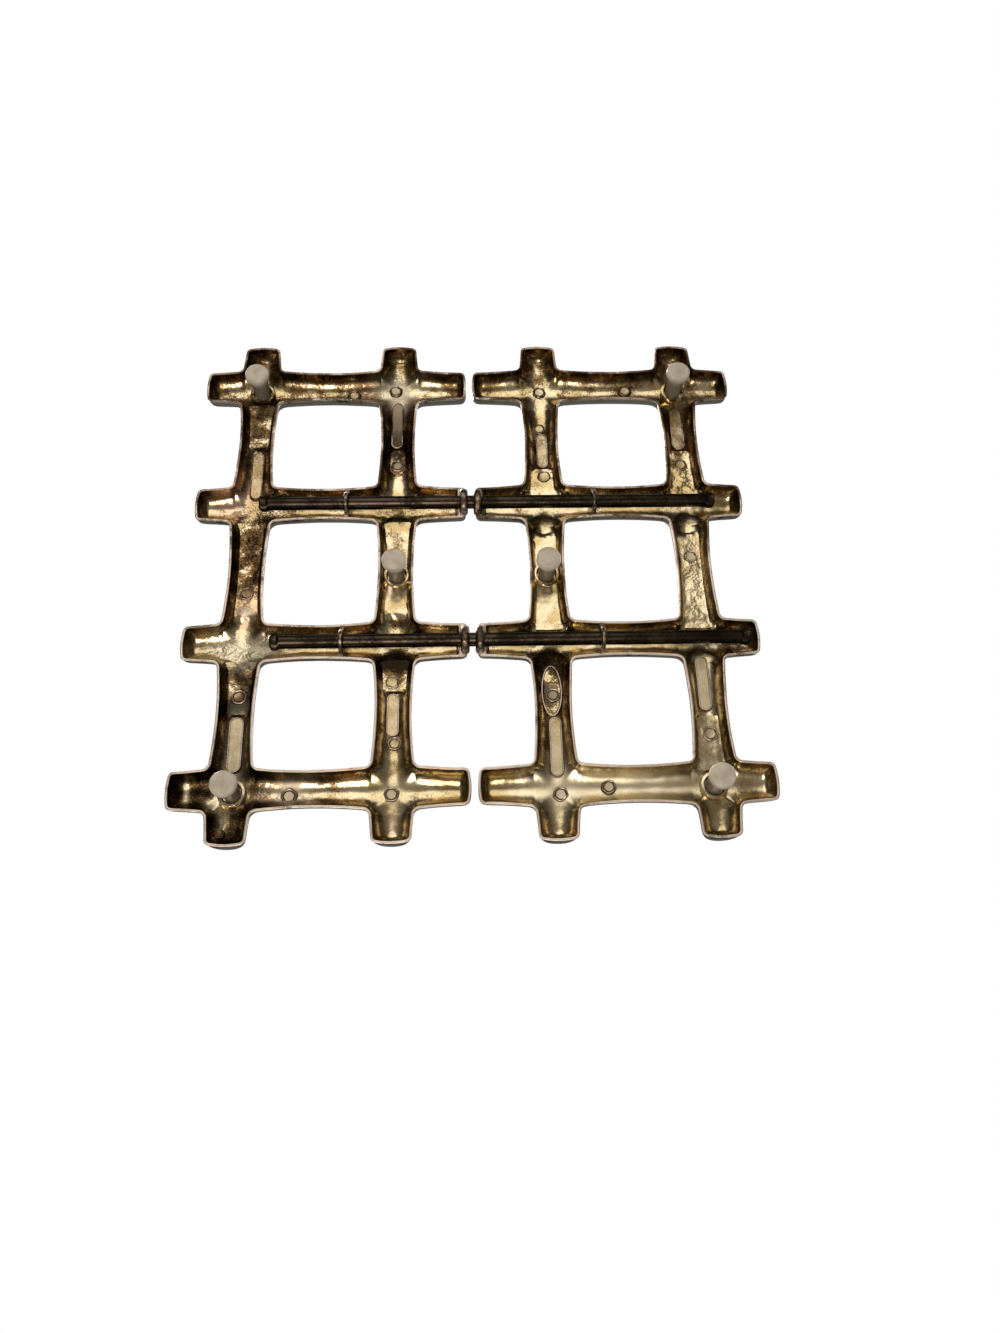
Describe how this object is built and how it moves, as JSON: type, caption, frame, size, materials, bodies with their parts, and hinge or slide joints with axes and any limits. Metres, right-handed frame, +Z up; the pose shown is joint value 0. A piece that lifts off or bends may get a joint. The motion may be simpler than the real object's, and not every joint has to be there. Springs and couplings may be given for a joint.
{
  "type": "expandable trivet",
  "caption": "Expandable lattice trivet: hollow half-round cast bars in sliding halves, joined by steel rods and standing on short plastic feet.",
  "frame": {"origin": "on the table, under the middle of the closed trivet", "axes": "+X is the sliding direction, from the left half to the right half; +Y runs along the crossbars; +Z is up, from the feet to the crowns of the bars"},
  "size_m": [0.197, 0.1928, 0.0158],
  "materials": {
    "plated_casting": "silver electroplate on cast zinc, bright above and tarnished gold-brown inside the troughs",
    "rod_steel": "plain drawn steel, darkened brown with age",
    "foot_plastic": "milky translucent moulded plastic"
  },
  "bodies": {
    "left": {"left_half": "plated_casting", "left_front_foot": "foot_plastic", "left_middle_foot": "foot_plastic", "left_back_foot": "foot_plastic"},
    "front_rod": {"front_slide_rod": "rod_steel"},
    "back_rod": {"back_slide_rod": "rod_steel"},
    "right": {"right_half": "plated_casting", "right_front_foot": "foot_plastic", "right_middle_foot": "foot_plastic", "right_back_foot": "foot_plastic"}
  },
  "joints": [
    {"name": "front_rod_slide", "type": "slide", "parent": "left", "child": "front_rod", "axis": [1, 0, 0], "range_m": [0, 0.0271]},
    {"name": "right_half_slide", "type": "slide", "parent": "front_rod", "child": "right", "axis": [1, 0, 0], "range_m": [-0.0018, 0.0397]},
    {"name": "back_rod_slide", "type": "slide", "parent": "left", "child": "back_rod", "axis": [1, 0, 0], "range_m": [0, 0.0202]}
  ],
  "couplings": [
    {"joint": "back_rod_slide", "follows": "front_rod_slide", "ratio": 0.7453}
  ]
}
